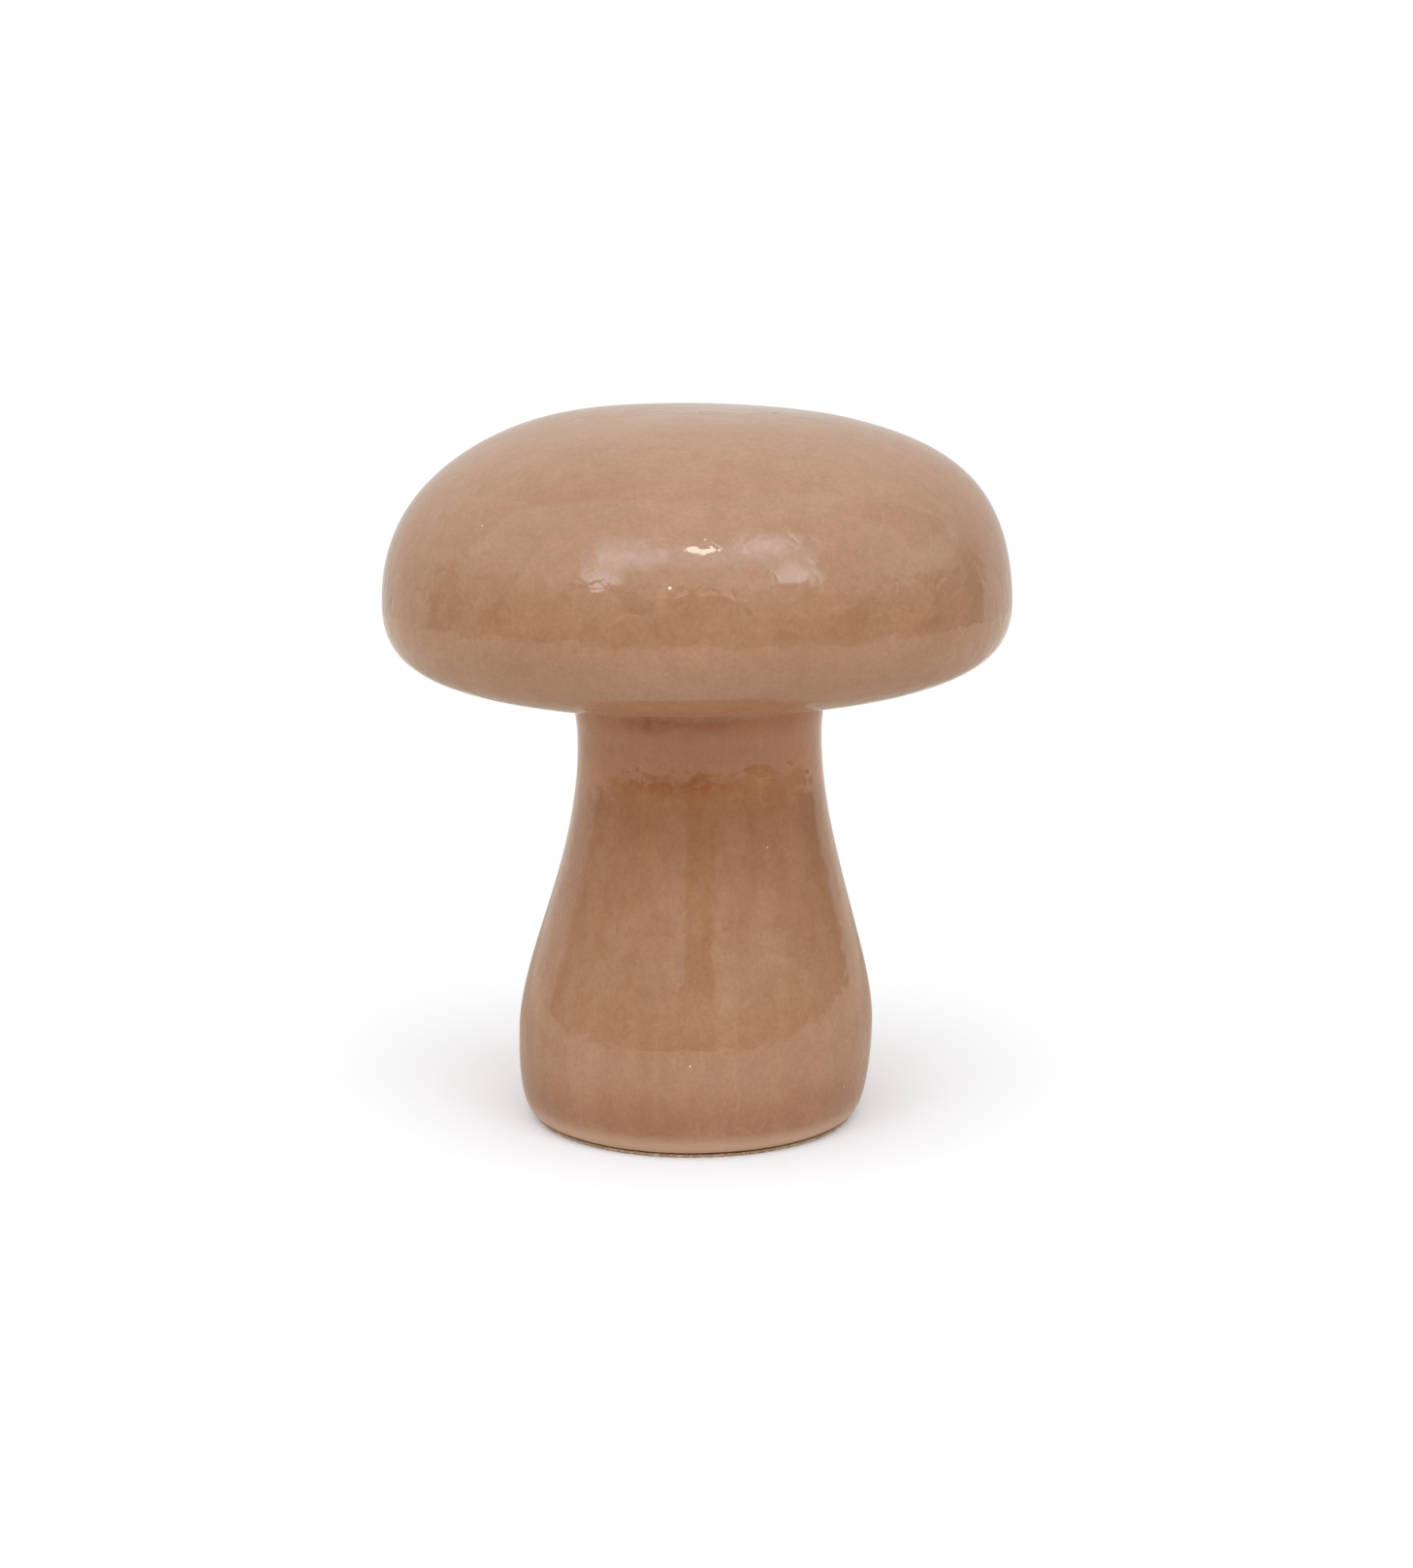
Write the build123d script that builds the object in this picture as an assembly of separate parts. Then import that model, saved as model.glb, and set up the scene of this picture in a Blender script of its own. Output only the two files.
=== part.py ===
from build123d import *
import os

# A hollow cast ceramic mushroom: a domed cap luted on to the rim of a waisted stem,
# standing on a thin pad that is glued under the foot.
# Millimetres, +Z up. The origin is the middle of the pad's underside.

# Pad and glue under the foot
pad_thickness = 1.0
pad_inset = 0.2            # the pad's edge lies this far inside the edge of the foot
film_thickness = 0.15

# Stem, with heights measured from the foot
stem_height = 58.4
foot_radius = 22.0
belly_radius = 25.0
belly_height = 11.6
neck_radius = 17.0
neck_height = 53.0
rim_flare = 0.6            # how far the rim spreads outside the neck
stem_wall = 4.0
stem_floor = 4.5
vent_radius = 6.0

# Luting slip between the stem's rim and the cap
seam_thickness = 0.4
seam_bead = 0.25           # how far the squeezed-out slip stands outside the rim

# Cap, with heights measured from its landing
cap_height = 40.0
cap_radius = 43.4
widest_height = 13.2       # height of the cap's widest line
cap_wall = 4.0
pour_hole_radius = 10.0

# Fullness of each curve, from 0 for slack to 1 for square
crown_fullness = 0.43
shoulder_fullness = 0.88
lip_fullness = 0.79
underside_fullness = 0.55
underside_lift = 0.20      # how early the underside starts to climb away from the stem
foot_fullness = 0.76
heel_fullness = 0.54
belly_fullness = 0.245
neck_fullness = 0.40
flare_fullness = 0.50

# Places that follow from the sizes
film_base = pad_thickness
foot_base = film_base + film_thickness
seam_base = foot_base + stem_height
landing_base = seam_base + seam_thickness
pad_radius = foot_radius - pad_inset
rim_radius = neck_radius + rim_flare
bore_radius = neck_radius - stem_wall


def between(start, end, share):
    """The value that lies a share of the way from start to end."""
    return start + share * (end - start)


def turned(edges):
    """One solid, turned about the Z axis from a closed half section drawn as radius and height."""
    section = make_face(Plane.XZ * Curve(children=list(edges)))
    return revolve(section, axis=Axis.Z)


def cap_curves(inset):
    """The cap's dome and underside, from the crown down to the landing, a wall's inset inside."""
    radius = cap_radius - inset
    crown = cap_height - inset
    landing = inset
    dome = Bezier(
        (0, crown),
        (crown_fullness * radius, crown),
        (radius, between(widest_height, crown, shoulder_fullness)),
        (radius, widest_height),
    )
    underside = Bezier(
        (radius, widest_height),
        (radius, between(widest_height, landing, lip_fullness)),
        (between(rim_radius, radius, underside_fullness), between(landing, widest_height, underside_lift)),
        (rim_radius, landing),
    )
    return [dome, underside]


def cap_shell():
    """The hollow cap, open at the pour hole in the middle of its landing."""
    outer = cap_curves(0)
    inner = cap_curves(cap_wall)
    landing = Line((rim_radius, 0), (pour_hole_radius, 0))
    hole = Line((pour_hole_radius, 0), (pour_hole_radius, cap_wall))
    cavity_floor = Line((pour_hole_radius, cap_wall), (rim_radius, cap_wall))
    crown = Line((0, cap_height - cap_wall), (0, cap_height))
    return Pos(0, 0, landing_base) * turned(outer + [landing, hole, cavity_floor] + inner + [crown])


def stem_side(inset, start_height):
    """The stem's side from a start height up to the neck, a wall's inset inside its outer face."""
    foot = foot_radius - inset
    belly = belly_radius - inset
    neck = neck_radius - inset
    swell = Bezier(
        (foot, start_height),
        (between(foot, belly, foot_fullness), start_height),
        (belly, between(belly_height, start_height, heel_fullness)),
        (belly, belly_height),
    )
    taper = Bezier(
        (belly, belly_height),
        (belly, between(belly_height, neck_height, belly_fullness)),
        (neck, between(neck_height, belly_height, neck_fullness)),
        (neck, neck_height),
    )
    return [swell, taper]


def stem_shell():
    """The hollow stem, open at its rim, with a vent through its floor."""
    outer = stem_side(0, 0)
    inner = stem_side(stem_wall, stem_floor)
    flare = Bezier(
        (neck_radius, neck_height),
        (neck_radius, between(neck_height, stem_height, flare_fullness)),
        (rim_radius, stem_height),
    )
    rim = Line((rim_radius, stem_height), (bore_radius, stem_height))
    bore = Line((bore_radius, stem_height), (bore_radius, neck_height))
    cavity_floor = Line((foot_radius - stem_wall, stem_floor), (vent_radius, stem_floor))
    vent = Line((vent_radius, stem_floor), (vent_radius, 0))
    foot = Line((vent_radius, 0), (foot_radius, 0))
    return Pos(0, 0, foot_base) * turned(outer + [flare, rim, bore] + inner + [cavity_floor, vent, foot])


def slip_seam():
    """The ring of slip between rim and landing, with the bead that was squeezed out round it."""
    bottom = Line((bore_radius, 0), (rim_radius, 0))
    bead = Bezier(
        (rim_radius, 0),
        (rim_radius + 2 * seam_bead, seam_thickness / 2),
        (rim_radius, seam_thickness),
    )
    top = Line((rim_radius, seam_thickness), (bore_radius, seam_thickness))
    inside = Line((bore_radius, seam_thickness), (bore_radius, 0))
    return Pos(0, 0, seam_base) * turned([bottom, bead, top, inside])


def disc(radius, thickness, base):
    """A flat round sheet lying on a level."""
    return Pos(0, 0, base) * extrude(Circle(radius), thickness)


pieces = {
    "foot_pad": disc(pad_radius, pad_thickness, 0),
    "adhesive_film": disc(pad_radius, film_thickness, film_base),
    "stem_shell": stem_shell(),
    "slip_seam": slip_seam(),
    "cap_shell": cap_shell(),
}

os.makedirs("parts", exist_ok=True)
for name, shape in pieces.items():
    export_step(shape, f"parts/{name}.step")
    box = shape.bounding_box()
    print(f"{name}: {shape.volume / 1000:.2f} cm3, {box.size.X:.2f} wide")
    print(f"    from z {box.min.Z:.2f} to {box.max.Z:.2f}")
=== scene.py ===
# %% [markdown]
# # A glazed ceramic mushroom, step by step
# The ornament is a hollow cast cap luted on a hollow cast stem, dipped in a tan crackle glaze
# and stood on a thin cork pad. This lesson turns each piece on a wheel, the way a potter would
# think of it, leans the whole a little as hand work does, and then spends most of its care on
# the glaze, because a plain round shape lives by its surface.

# %% Load the fixed frame
import math
import bpy
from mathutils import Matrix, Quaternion, Vector


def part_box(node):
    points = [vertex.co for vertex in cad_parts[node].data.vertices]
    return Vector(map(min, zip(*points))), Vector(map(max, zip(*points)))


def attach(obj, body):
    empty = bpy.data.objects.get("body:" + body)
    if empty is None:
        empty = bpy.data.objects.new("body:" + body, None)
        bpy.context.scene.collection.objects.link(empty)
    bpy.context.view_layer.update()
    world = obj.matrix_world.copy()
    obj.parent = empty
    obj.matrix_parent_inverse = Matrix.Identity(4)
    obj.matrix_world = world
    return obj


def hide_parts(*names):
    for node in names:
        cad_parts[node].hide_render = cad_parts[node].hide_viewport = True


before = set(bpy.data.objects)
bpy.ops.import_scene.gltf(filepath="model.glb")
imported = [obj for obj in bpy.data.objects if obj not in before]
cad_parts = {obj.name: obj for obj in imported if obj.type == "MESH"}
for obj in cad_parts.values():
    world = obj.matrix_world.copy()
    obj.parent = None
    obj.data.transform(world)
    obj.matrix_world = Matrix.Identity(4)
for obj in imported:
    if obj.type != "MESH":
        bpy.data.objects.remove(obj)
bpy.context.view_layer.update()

MM = 0.001
print("nodes:", sorted(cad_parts))

# %% [markdown]
# ## The camera
# The camera comes first, because every later judgement is made through it. It stands a short
# arm's length away and a little above the cap. It could be placed with a shifted lens, but a
# small change of aim does the same and leaves the lens plain for views from other sides.

# %% Camera
EYE = Vector((0, -441.4, 137.4)) * MM
AIM = Vector((1.3, 0, 47.3)) * MM
LENS = 74.0

bpy.ops.object.camera_add(location=EYE)
camera = bpy.context.active_object
camera.name = "photo_camera"
camera.data.lens = LENS
camera.rotation_euler = (AIM - EYE).to_track_quat("-Z", "Y").to_euler()
bpy.context.scene.camera = camera
print("camera to aim:", round((AIM - EYE).length / MM), "mm")

# %% [markdown]
# ## Heights and radii
# The levels come from the loaded solids, so the new pieces meet where the solids meet. A solid's
# box can't tell its wall or its waist, so those few sizes are written again here.

# %% Levels and sizes
pad_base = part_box("foot_pad")[0].z
film_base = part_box("adhesive_film")[0].z
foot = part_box("stem_shell")[0].z
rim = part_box("stem_shell")[1].z
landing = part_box("cap_shell")[0].z
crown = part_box("cap_shell")[1].z
cap_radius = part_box("cap_shell")[1].x
belly_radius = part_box("stem_shell")[1].x
pad_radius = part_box("foot_pad")[1].x

widest = landing + 13.2 * MM
belly = foot + 11.6 * MM
neck = foot + 53.0 * MM
foot_radius = 22.0 * MM
neck_radius = 17.0 * MM
rim_radius = 17.6 * MM
wall = 4.0 * MM
bore_radius = neck_radius - wall
stem_floor = 4.5 * MM
vent_radius = 6.0 * MM
pour_hole_radius = 10.0 * MM
print("height", round(crown / MM, 2), "mm, cap", round(2 * cap_radius / MM, 2), "mm wide")

# %% [markdown]
# ## Smooth curves
# A potter's profile is one flowing line. Points typed by hand would make a lumpy curve, so each
# round stretch is a Bezier curve: a few handles pull the line, and a formula samples it.

# %% Curve helpers
def between(start, end, share):
    """The value at a share of the way from start to end."""
    return start + share * (end - start)


def curve(handles, steps):
    """Points along a Bezier curve through the first and last of its handles."""
    points = []
    for step in range(steps + 1):
        row = [Vector(handle) for handle in handles]
        while len(row) > 1:
            row = [a.lerp(b, step / steps) for a, b in zip(row, row[1:])]
        points.append(row[0])
    return points


print("a bend in 2 steps:", [tuple(point) for point in curve([(0, 0), (1, 0), (1, 1)], 2)])

# %% [markdown]
# ## A wheel in code
# A wheel makes everything round about its axis. A stack of squashed cylinders could stand for that,
# but its seams would show in a glossy glaze. So a half outline is drawn by extruding one vertex from
# point to point, and Spin sweeps it round in one go.

# %% The wheel
WELD = 0.002 * MM


def turn_on_wheel(name, outline, segments):
    """Sweeps a half outline of radius and height round the Z axis into one closed piece."""
    bpy.ops.object.select_all(action="DESELECT")
    bpy.ops.mesh.primitive_plane_add(size=MM)
    piece = bpy.context.active_object
    piece.name = name
    bpy.ops.object.mode_set(mode="EDIT")
    bpy.ops.mesh.select_all(action="SELECT")
    bpy.ops.mesh.merge(type="CENTER")
    bpy.ops.transform.translate(value=(outline[0][0], 0, outline[0][1]))
    for start, end in zip(outline, outline[1:]):
        step = (end[0] - start[0], 0, end[1] - start[1])
        bpy.ops.mesh.extrude_region_move(TRANSFORM_OT_translate={"value": step})
    bpy.ops.mesh.select_all(action="SELECT")
    bpy.ops.mesh.spin(steps=segments, angle=math.tau, center=(0, 0, 0), axis=(0, 0, 1))
    bpy.ops.mesh.select_all(action="SELECT")
    bpy.ops.mesh.remove_doubles(threshold=WELD)
    bpy.ops.mesh.normals_make_consistent(inside=False)
    bpy.ops.object.mode_set(mode="OBJECT")
    return piece


print("points closer than", WELD / MM, "mm are welded")

# %% Finishing helpers
def select_only(piece):
    """Makes a piece the only selected one, and the active one."""
    bpy.ops.object.select_all(action="DESELECT")
    piece.select_set(True)
    bpy.context.view_layer.objects.active = piece


def finish_with(piece, kind, **settings):
    """Adds one modifier with its settings and applies it."""
    select_only(piece)
    modifier = piece.modifiers.new(kind.lower(), kind)
    for key, value in settings.items():
        setattr(modifier, key, value)
    bpy.ops.object.modifier_apply(modifier=modifier.name)


def report(piece):
    """Prints a piece's count of faces and its size."""
    size = [round(value / MM, 1) for value in piece.dimensions]
    print(piece.name, len(piece.data.polygons), "faces,", size, "mm")


print("helpers:", select_only.__name__, finish_with.__name__, report.__name__)

# %% [markdown]
# ## The cap
# The cap is a cast shell with a flat landing under it and a pour hole in the landing. It could be
# a squashed ball, but the real dome is fuller at the shoulder and rolls under tightly at its lip,
# so dome and underside are two curves that meet upright at the widest line. The same two curves,
# a wall's thickness inside, make the cavity. One level of subdivision rounds what is left.

# %% Outline of the cap
DOME_FLAT = 0.43
DOME_SHOULDER = 0.88
ROLL_DEPTH = 0.79
ROLL_REACH = 0.55
ROLL_RISE = 0.20


def cap_curves(inset, dome_steps, under_steps):
    """Dome and underside from the crown to the landing, at an inset from the outer face."""
    radius = cap_radius - inset
    top = crown - inset
    base = landing + inset
    shoulder = between(widest, top, DOME_SHOULDER)
    dome = curve([(0, top), (DOME_FLAT * radius, top), (radius, shoulder), (radius, widest)], dome_steps)
    under = curve(
        [
            (radius, widest),
            (radius, between(widest, base, ROLL_DEPTH)),
            (between(rim_radius, radius, ROLL_REACH), between(base, widest, ROLL_RISE)),
            (rim_radius, base),
        ],
        under_steps,
    )
    return dome + under[1:]


CRISP = 0.2 * MM

cap_outline = cap_curves(0, 44, 26)
cap_outline += [(rim_radius - CRISP, landing), (pour_hole_radius, landing)]
cap_outline += [(pour_hole_radius, landing + wall)]
cap_outline += cap_curves(wall, 22, 12)[::-1]
print("cap outline of", len(cap_outline), "points")

# %% Turn the cap
CAST_SEGMENTS = 96

cap = turn_on_wheel("glazed_cap", cap_outline, CAST_SEGMENTS)
finish_with(cap, "SUBSURF", levels=1, render_levels=1)
report(cap)

# %% [markdown]
# ## The stem
# The stem is a waisted tube with a floor. Its side is three curves: a heel that rolls out from the
# foot, a long taper from the belly to the neck, and a slight flare where it was pressed to the cap.
# A cylinder with a few scaled rings would show each ring as a bend in the reflections. The glaze
# hangs in a small lip round the foot, about half a millimetre below the clay.

# %% Side of the stem
HEEL_REACH = 0.76
HEEL_RISE = 0.54
BELLY_HOLD = 0.245
NECK_HOLD = 0.40


def stem_side(inset, base, heel_steps, taper_steps):
    """Heel and taper from the foot to the neck, at an inset from the outer face."""
    foot_edge = foot_radius - inset
    fullest = belly_radius - inset
    slimmest = neck_radius - inset
    heel = curve(
        [
            (foot_edge, base),
            (between(foot_edge, fullest, HEEL_REACH), base),
            (fullest, between(belly, base, HEEL_RISE)),
            (fullest, belly),
        ],
        heel_steps,
    )
    taper = curve(
        [
            (fullest, belly),
            (fullest, between(belly, neck, BELLY_HOLD)),
            (slimmest, between(neck, belly, NECK_HOLD)),
            (slimmest, neck),
        ],
        taper_steps,
    )
    return heel + taper[1:]


flare = curve([(neck_radius, neck), (neck_radius, between(neck, rim, 0.5)), (rim_radius, rim)], 6)
print("the rim flares by", round((flare[-1].x - flare[0].x) / MM, 2), "mm")

# %% Turn the stem
LIP = 0.60 * MM

stem_outline = [(vent_radius, foot), (foot_radius, foot), (foot_radius + CRISP / 4, foot - LIP / 2)]
stem_outline += [(foot_radius + CRISP / 2, foot - LIP)]
stem_outline += stem_side(0, foot - LIP, 22, 40)[2:] + flare[1:]
stem_outline += [(rim_radius - CRISP, rim), (bore_radius, rim)]
stem_outline += stem_side(wall, foot + stem_floor, 8, 14)[::-1]
stem_outline += [(vent_radius, foot + stem_floor), (vent_radius, foot)]
stem = turn_on_wheel("glazed_stem", stem_outline, CAST_SEGMENTS)
finish_with(stem, "SUBSURF", levels=1, render_levels=1)
report(stem)

# %% [markdown]
# ## The luted joint
# Slip squeezed out between rim and cap is wiped with a wet brush, and the glaze then pools in the
# corner. A plain torus would look like a gasket, so the joint is a ring whose outer edge is hollowed
# into a small fillet that runs out on the stem below and on the cap above.

# %% Turn the joint
FILLET_DROP = 0.6 * MM
FILLET_REACH = 0.4 * MM
TUCK = 0.12 * MM
RING_SEGMENTS = 192

fillet = curve(
    [
        (rim_radius - 2 * TUCK, rim - FILLET_DROP),
        (rim_radius + TUCK, landing - TUCK),
        (rim_radius + FILLET_REACH, landing + FILLET_REACH),
    ],
    10,
)
bead_outline = [(bore_radius, rim)] + fillet + [(bore_radius, landing), (bore_radius, rim)]
bead = turn_on_wheel("slip_bead", bead_outline, RING_SEGMENTS)
report(bead)

# %% [markdown]
# ## The pad and its glue
# The pad is a disc cut from pressed cork. The weight above squeezes it out a little under the lip
# of glaze, which is all that shows of it. A cylinder would do for the disc, but not for that bulge,
# so it is turned too. The glue is a film with nothing to see but its edge.

# %% Turn the pad and the glue
EDGE_SOFTNESS = 0.12 * MM
BULGE = 0.55 * MM
PAD_SEGMENTS = 256
FILM_SEGMENTS = 128

lip_level = foot - LIP
pad_outline = [
    (0, pad_base),
    (pad_radius + BULGE - EDGE_SOFTNESS, pad_base),
    (pad_radius + BULGE, pad_base + EDGE_SOFTNESS),
    (pad_radius + BULGE, between(pad_base, lip_level, 0.5)),
    (pad_radius + BULGE, lip_level - EDGE_SOFTNESS),
    (pad_radius, lip_level),
    (pad_radius, film_base - EDGE_SOFTNESS),
    (pad_radius - EDGE_SOFTNESS, film_base),
    (0, film_base),
]
pad = turn_on_wheel("cork_pad", pad_outline, PAD_SEGMENTS)
film_outline = [(0, film_base), (pad_radius, film_base), (pad_radius, foot), (0, foot)]
film = turn_on_wheel("glue_film", film_outline, FILM_SEGMENTS)
report(pad)
report(film)

# %% [markdown]
# ## The crumbled edge
# A knife tears cork between its grains, so the cut edge is never clean. Bump in the material would
# leave the outline straight, so the edge itself is displaced by fine clouds. A vertex group keeps the
# flat underside and the glued top out of it.

# %% Crumble the cut edge of the cork
CRUMBLE = 0.32 * MM
CRUMBLE_GRAIN = 0.8 * MM

grain_clouds = bpy.data.textures.new("cork_crumble", "CLOUDS")
grain_clouds.noise_scale = CRUMBLE_GRAIN
cut_edge = pad.vertex_groups.new(name="cut_edge")
edge_points = [
    v.index for v in pad.data.vertices
    if math.hypot(v.co.x, v.co.y) > pad_radius + BULGE / 2 and v.co.z > pad_base + EDGE_SOFTNESS / 2
]
cut_edge.add(edge_points, 1.0, "REPLACE")
finish_with(
    pad, "DISPLACE", texture=grain_clouds, strength=CRUMBLE, mid_level=0.5, vertex_group="cut_edge",
    texture_coords="LOCAL",
)
print("crumbled", len(edge_points), "points")

# %% [markdown]
# ## The hand in the work
# Plaster moulds and wet sponges leave a cast a little uneven, and a perfect wheel would give it away
# in the reflections. Slow waves come from a cloud texture with cells as wide as a thumb. The three
# places where the real cap swells or sinks are pressed one by one: one vertex is moved, and proportional
# editing eases its neighbours along.

# %% Slow waves in the cast walls
WAVE_LENGTH = 24 * MM
WAVE_DEPTH = 0.13 * MM

waves = bpy.data.textures.new("slow_waves", "CLOUDS")
waves.noise_scale = WAVE_LENGTH
for piece in (cap, stem, bead):
    finish_with(
        piece, "DISPLACE", texture=waves, strength=WAVE_DEPTH, mid_level=0.5, texture_coords="LOCAL"
    )
    report(piece)

# %% Press the cap with a thumb
PRESSES = [
    ((-20, 4, 96), (-0.10, 0, 0.50), 20),
    ((36, 0, 88), (0.30, 0, 0.32), 20),
    ((7, 4, 100), (0, 0, -0.20), 14),
]


def press(piece, spot, move, reach):
    """Moves the point nearest to a spot and eases its neighbours along, out to a reach, in mm."""
    spot = Vector(spot) * MM
    nearest = min(piece.data.vertices, key=lambda vertex: (vertex.co - spot).length).index
    select_only(piece)
    bpy.ops.object.mode_set(mode="EDIT")
    bpy.ops.mesh.select_mode(type="VERT")
    bpy.ops.mesh.select_all(action="DESELECT")
    bpy.ops.object.mode_set(mode="OBJECT")
    piece.data.vertices[nearest].select = True
    bpy.ops.object.mode_set(mode="EDIT")
    bpy.ops.transform.translate(
        value=Vector(move) * MM, use_proportional_edit=True, proportional_edit_falloff="SMOOTH",
        proportional_size=reach * MM,
    )
    bpy.ops.object.mode_set(mode="OBJECT")
    print(piece.name, "pressed at", [round(value / MM) for value in piece.data.vertices[nearest].co], "mm")


for spot, move, reach in PRESSES:
    press(cap, spot, move, reach)

# %% [markdown]
# ## A slight lean
# No luted piece stands perfectly true: the stem sways by half a millimetre, and the cap sits a
# degree higher on its right. Each piece could be bent on its own, but then the joints would open. A
# lattice is a soft cage round all the pieces, so one cage leans them together and the joints stay shut.

# %% Lean every piece in one cage
CAGE = 100 * MM
CORNERS_PER_LEVEL = 4
SWAY = [-0.6, 0.0, 0.45, 0.25, -0.05, 0.6]
TILT = [0.0, 0.0, 0.0, 0.016, 0.010, 0.0]
SMOOTH_BELOW = math.radians(50)

bpy.ops.object.select_all(action="DESELECT")
bpy.ops.object.add(type="LATTICE", location=(0, 0, CAGE / 2))
cage = bpy.context.active_object
cage.scale = (CAGE, CAGE, CAGE)
cage.data.points_u = 2
cage.data.points_v = 2
cage.data.points_w = len(SWAY)
cage.data.interpolation_type_w = "KEY_CATMULL_ROM"
for index, point in enumerate(cage.data.points):
    storey = index // CORNERS_PER_LEVEL
    point.co_deform.x += SWAY[storey] * MM / CAGE
    point.co_deform.z += TILT[storey] * point.co.x
bpy.context.view_layer.update()
for piece in (cap, stem, bead, film, pad):
    finish_with(piece, "LATTICE", object=cage)
    bpy.ops.object.shade_smooth_by_angle(angle=SMOOTH_BELOW)
    report(piece)
bpy.data.objects.remove(cage)

# %% [markdown]
# ## Helpers for shader nodes
# A material is a small circuit. It could be wired node by node, but the wiring would hide the idea.
# A few helpers keep the circuits readable: one places a node with its settings and inputs, and the
# others name the nodes that come up again and again.

# %% Node helpers
def place(tree, kind, inputs=None, **settings):
    """Places a node and fills its inputs with plain values or with other nodes' outputs."""
    node = tree.nodes.new(kind)
    for key, value in settings.items():
        setattr(node, key, value)
    for key, value in (inputs or {}).items():
        if isinstance(value, bpy.types.NodeSocket):
            tree.links.new(value, node.inputs[key])
        else:
            node.inputs[key].default_value = value
    return node


def calc(tree, operation, first, second=0.0, third=0.0):
    """One step of arithmetic."""
    node = place(tree, "ShaderNodeMath", {0: first, 1: second, 2: third}, operation=operation)
    return node.outputs[0]


def vectors(tree, operation, first, second=(0, 0, 0), third=(0, 0, 0)):
    """One step of arithmetic on vectors, with a vector or a value as its result."""
    inputs = {0: first, 1: second, 2: third}
    return place(tree, "ShaderNodeVectorMath", inputs, operation=operation).outputs


def ramp(tree, value, start, end, low=0.0, high=1.0):
    """Eases from low to high while the value goes from start to end."""
    inputs = {"Value": value, "From Min": start, "From Max": end, "To Min": low, "To Max": high}
    return place(tree, "ShaderNodeMapRange", inputs, interpolation_type="SMOOTHSTEP").outputs["Result"]


print("helpers:", place.__name__, calc.__name__, vectors.__name__, ramp.__name__)

# %% Colour and pattern helpers
def tint(tree, factor, first, second, blend_type="MIX"):
    """Mixes two colours."""
    inputs = {0: factor, 6: first, 7: second}
    return place(tree, "ShaderNodeMix", inputs, data_type="RGBA", blend_type=blend_type).outputs[2]


def noise(tree, vector, scale, detail=2.0, roughness=0.5):
    """Soft noise from 0 to 1, with about as many swells to a metre as its scale says."""
    inputs = {"Vector": vector, "Scale": scale, "Detail": detail, "Roughness": roughness}
    return place(tree, "ShaderNodeTexNoise", inputs).outputs["Fac"]


def cells_of(tree, vector, scale, feature="F1"):
    """Cells that split space, as in a Voronoi diagram."""
    inputs = {"Vector": vector, "Scale": scale}
    return place(tree, "ShaderNodeTexVoronoi", inputs, feature=feature).outputs


def height_of(tree, where):
    """The height above the shelf."""
    return place(tree, "ShaderNodeSeparateXYZ", {0: where}).outputs["Z"]


def how_far(tree, where, spot, stretch=(1, 1, 1)):
    """The distance from a spot in mm, with each axis stretched to flatten the shape."""
    away = vectors(tree, "SUBTRACT", where, Vector(spot) * MM)["Vector"]
    return vectors(tree, "LENGTH", vectors(tree, "MULTIPLY", away, stretch)["Vector"])["Value"]


print("helpers:", tint.__name__, noise.__name__, cells_of.__name__, height_of.__name__, how_far.__name__)

# %% Groups, materials and dressing
def open_group(name, inputs, outputs):
    """Makes a node group with named number sockets and returns its tree and its two ends."""
    tree = bpy.data.node_groups.new(name, "ShaderNodeTree")
    tree.interface.new_socket("Vector", in_out="INPUT", socket_type="NodeSocketVector")
    for socket in inputs:
        tree.interface.new_socket(socket, in_out="INPUT", socket_type="NodeSocketFloat")
    for socket in outputs:
        tree.interface.new_socket(socket, in_out="OUTPUT", socket_type="NodeSocketFloat")
    return tree, tree.nodes.new("NodeGroupInput"), tree.nodes.new("NodeGroupOutput")


def use_group(tree, group, inputs):
    """Places a group with its inputs and returns its outputs."""
    return place(tree, "ShaderNodeGroup", inputs, node_tree=group).outputs


def open_material(name):
    """Makes a material and returns it with its tree, its shader and its object coordinates."""
    material = bpy.data.materials.new(name)
    material.use_nodes = True
    tree = material.node_tree
    shader = tree.nodes["Principled BSDF"]
    coordinates = place(tree, "ShaderNodeTexCoord").outputs["Object"]
    return material, tree, shader, coordinates


def dress(piece, material, slot, node):
    """Gives a piece its material and its body, and hides the node that it stands for; the slot is not used.
    """
    piece.data.materials.clear()
    piece.data.materials.append(material)
    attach(piece, "root")
    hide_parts(node)
    print(piece.name, "wears", material.name, "with", len(material.node_tree.nodes), "nodes")


print("helpers:", open_group.__name__, use_group.__name__, open_material.__name__, dress.__name__)

# %% [markdown]
# ## Mottle
# Nothing fired in a kiln is one even colour. Mottle is unevenness at three sizes at once: broad drifts,
# soft blotches and fine grain. One noise with many octaves would tie the three together, so each has
# its own noise. Every material here uses it, so it is a group.

# %% Mottle group
def make_mottle():
    """Three noises of different sizes, each eased towards its extremes."""
    sizes = ("Broad", "Blotch", "Grain")
    tree, start, end = open_group("mottle", sizes, sizes)
    for size, detail in zip(sizes, (2.0, 3.0, 2.0)):
        value = noise(tree, start.outputs["Vector"], start.outputs[size], detail, 0.6)
        tree.links.new(ramp(tree, value, 0.3, 0.7), end.inputs[size])
    return tree


mottle = make_mottle()
print("group", mottle.name, [socket.name for socket in mottle.interface.items_tree])

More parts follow.
